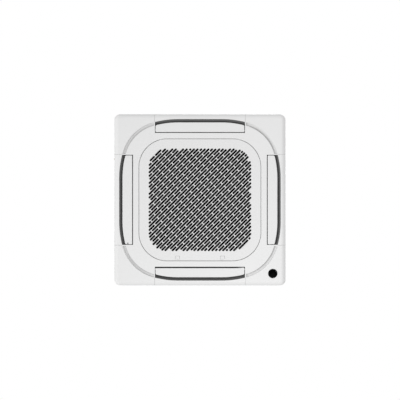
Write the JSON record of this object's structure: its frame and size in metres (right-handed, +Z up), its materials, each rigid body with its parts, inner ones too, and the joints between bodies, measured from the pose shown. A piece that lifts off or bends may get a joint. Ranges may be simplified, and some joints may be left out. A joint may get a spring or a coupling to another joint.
{
  "type": "ceiling cassette air conditioner",
  "caption": "Square white ceiling cassette air conditioner: hinged slotted suction grille, a flap over each side's outlet, sensor corner, and a boxed fan and coil above.",
  "frame": {"origin": "on the unit's vertical centre line, level with the underside of the ceiling where the panel's rim rests", "axes": "+Z up into the ceiling; seen from the room, +X is the image's right and +Y the image's down, so the latches are at +Y, the grille's hinge at -Y and the pipes at -X"},
  "size_m": [0.965, 0.955, 0.2996],
  "materials": {
    "panel_plastic": "satin white moulded plastic",
    "flap_plastic": "satin white moulded plastic",
    "grille_plastic": "satin white moulded plastic",
    "duct_plastic": "black moulded plastic",
    "bezel_plastic": "fine satin black plastic",
    "lens_plastic": "polished dark plastic",
    "motor_metal": "black painted pressed metal",
    "bush_plastic": "natural bearing plastic",
    "shaft_steel": "ground bright steel",
    "screw_steel": "bright plated steel",
    "sheet_steel": "galvanised sheet with a faint spangle",
    "bracket_steel": "thick galvanised sheet",
    "foam": "expanded polystyrene foam",
    "seal_foam": "soft black closed-cell foam",
    "bell_plastic": "dark grey moulded plastic",
    "mesh_fabric": "fine dark woven mesh",
    "filter_plastic": "dark moulded plastic",
    "fin_aluminium": "thin bare aluminium fins",
    "copper": "drawn copper tube",
    "brass": "turned brass",
    "fan_plastic": "dark moulded plastic",
    "rubber": "moulded rubber",
    "pump_plastic": "pale moulded plastic",
    "float_foam": "white closed-cell float",
    "tube_vinyl": "clear flexible vinyl",
    "drain_plastic": "white rigid drain plastic",
    "board": "green solder-masked board with its components"
  },
  "bodies": {
    "unit": {"panel_frame": "panel_plastic", "corner_cover_front_right": "panel_plastic", "corner_cover_front_left": "panel_plastic", "corner_cover_back_left": "panel_plastic", "corner_cover_back_right": "panel_plastic", "outlet_duct_front": "duct_plastic", "outlet_duct_left": "duct_plastic", "outlet_duct_back": "duct_plastic", "outlet_duct_right": "duct_plastic", "flap_motor_front": "motor_metal", "flap_motor_left": "motor_metal", "flap_motor_back": "motor_metal", "flap_motor_right": "motor_metal", "flap_bushes": "bush_plastic", "sensor_bezel": "bezel_plastic", "sensor_lens": "lens_plastic", "sensor_board": "board", "grille_hinge_pins": "shaft_steel", "panel_seal": "seal_foam", "panel_screws": "screw_steel", "hanger_brackets": "bracket_steel", "casing_left": "sheet_steel", "casing_sides": "sheet_steel", "top_plate": "sheet_steel", "foam_liner": "foam", "drain_pan": "foam", "bell_mouth": "bell_plastic", "coil_fins": "fin_aluminium", "coil_bends": "copper", "copper_pipes": "copper", "pipe_unions": "brass", "pipe_plate": "sheet_steel", "fan_motor": "motor_metal", "motor_isolators": "rubber", "drain_pump": "pump_plastic", "float_switch": "pump_plastic", "drain_tube": "tube_vinyl", "drain_socket": "drain_plastic", "cable_grommet": "rubber", "control_box": "sheet_steel", "control_cover": "sheet_steel", "control_board": "board"},
    "flap_front_body": {"flap_front": "flap_plastic", "flap_shaft_front": "shaft_steel"},
    "flap_left_body": {"flap_left": "flap_plastic", "flap_shaft_left": "shaft_steel"},
    "flap_back_body": {"flap_back": "flap_plastic", "flap_shaft_back": "shaft_steel"},
    "flap_right_body": {"flap_right": "flap_plastic", "flap_shaft_right": "shaft_steel"},
    "grille": {"suction_grille": "grille_plastic", "filter_frame": "filter_plastic", "filter_mesh": "mesh_fabric"},
    "latch_left": {"grille_latch_left": "grille_plastic"},
    "latch_right": {"grille_latch_right": "grille_plastic"},
    "fan": {"motor_shaft": "shaft_steel", "fan_wheel": "fan_plastic", "fan_nut": "screw_steel"},
    "impeller": {"pump_impeller": "pump_plastic"},
    "float": {"float_ring": "float_foam"}
  },
  "joints": [
    {"name": "flap_front_hinge", "type": "hinge", "parent": "unit", "child": "flap_front_body", "pos_m": [0, 0.385, -0.031], "axis": [-1, 0, 0], "range_deg": [0, 60]},
    {"name": "flap_left_hinge", "type": "hinge", "parent": "unit", "child": "flap_left_body", "pos_m": [-0.385, 0, -0.031], "axis": [0, -1, 0], "range_deg": [0, 60]},
    {"name": "flap_back_hinge", "type": "hinge", "parent": "unit", "child": "flap_back_body", "pos_m": [0, -0.385, -0.031], "axis": [1, 0, 0], "range_deg": [0, 60]},
    {"name": "flap_right_hinge", "type": "hinge", "parent": "unit", "child": "flap_right_body", "pos_m": [0.385, 0, -0.031], "axis": [0, 1, 0], "range_deg": [0, 60]},
    {"name": "grille_hinge", "type": "hinge", "parent": "unit", "child": "grille", "pos_m": [0, -0.3325, -0.0375], "axis": [-1, 0, 0], "range_deg": [0, 90]},
    {"name": "latch_left_slide", "type": "slide", "parent": "grille", "child": "latch_left", "axis": [0, 1, 0], "range_m": [0, 0.006]},
    {"name": "latch_right_slide", "type": "slide", "parent": "grille", "child": "latch_right", "axis": [0, 1, 0], "range_m": [0, 0.006]},
    {"name": "fan_spin", "type": "hinge", "parent": "unit", "child": "fan", "pos_m": [0, 0, 0.17], "axis": [0, 0, 1], "continuous": true},
    {"name": "impeller_spin", "type": "hinge", "parent": "unit", "child": "impeller", "pos_m": [-0.3, -0.3, 0.045], "axis": [0, 0, 1], "continuous": true},
    {"name": "float_lift", "type": "slide", "parent": "unit", "child": "float", "axis": [0, 0, 1], "range_m": [0, 0.012]}
  ]
}
